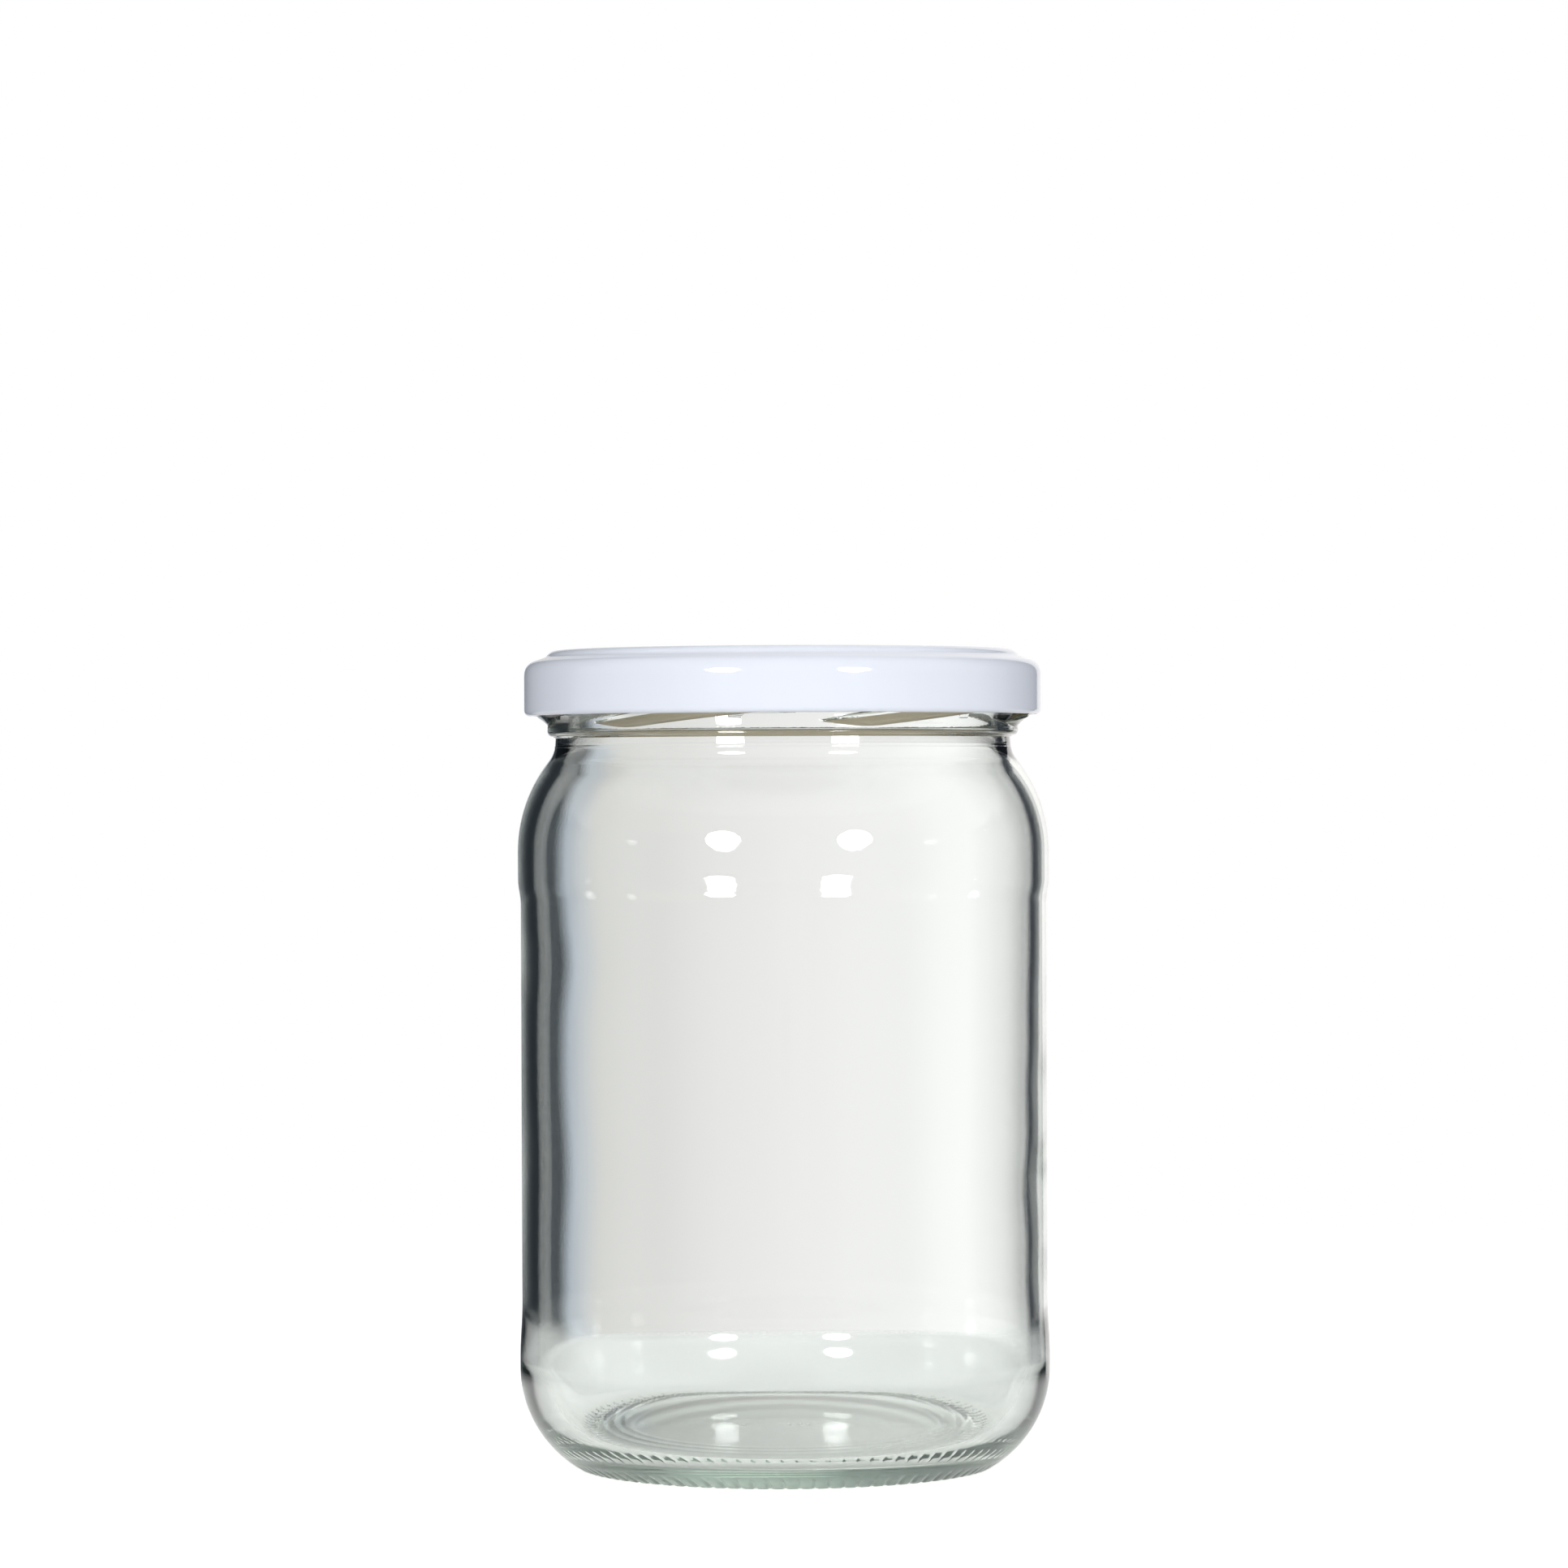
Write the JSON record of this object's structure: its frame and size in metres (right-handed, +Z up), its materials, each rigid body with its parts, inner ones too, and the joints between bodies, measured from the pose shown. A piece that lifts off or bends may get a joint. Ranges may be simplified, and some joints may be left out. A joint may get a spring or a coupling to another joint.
{
  "type": "preserving jar",
  "caption": "Empty clear glass preserving jar, straight sided with rounded shoulder and heel, shut with a white pressed metal lug lid.",
  "frame": {"origin": "on the axis of the jar, at the height of the ring it stands on", "axes": "+Z up along the axis of the jar, towards the lid; -Y faces the viewer and +X is to the viewer's right"},
  "size_m": [0.0874, 0.0872, 0.134],
  "materials": {
    "clear_glass": "clear, polished, faint green in the thick base",
    "white_enamel": "gloss white enamel on pressed tinplate",
    "seal_compound": "satin, cream white"
  },
  "bodies": {
    "root": {"glass_jar": "clear_glass", "lid": "white_enamel", "lid_seal": "seal_compound"}
  },
  "joints": []
}
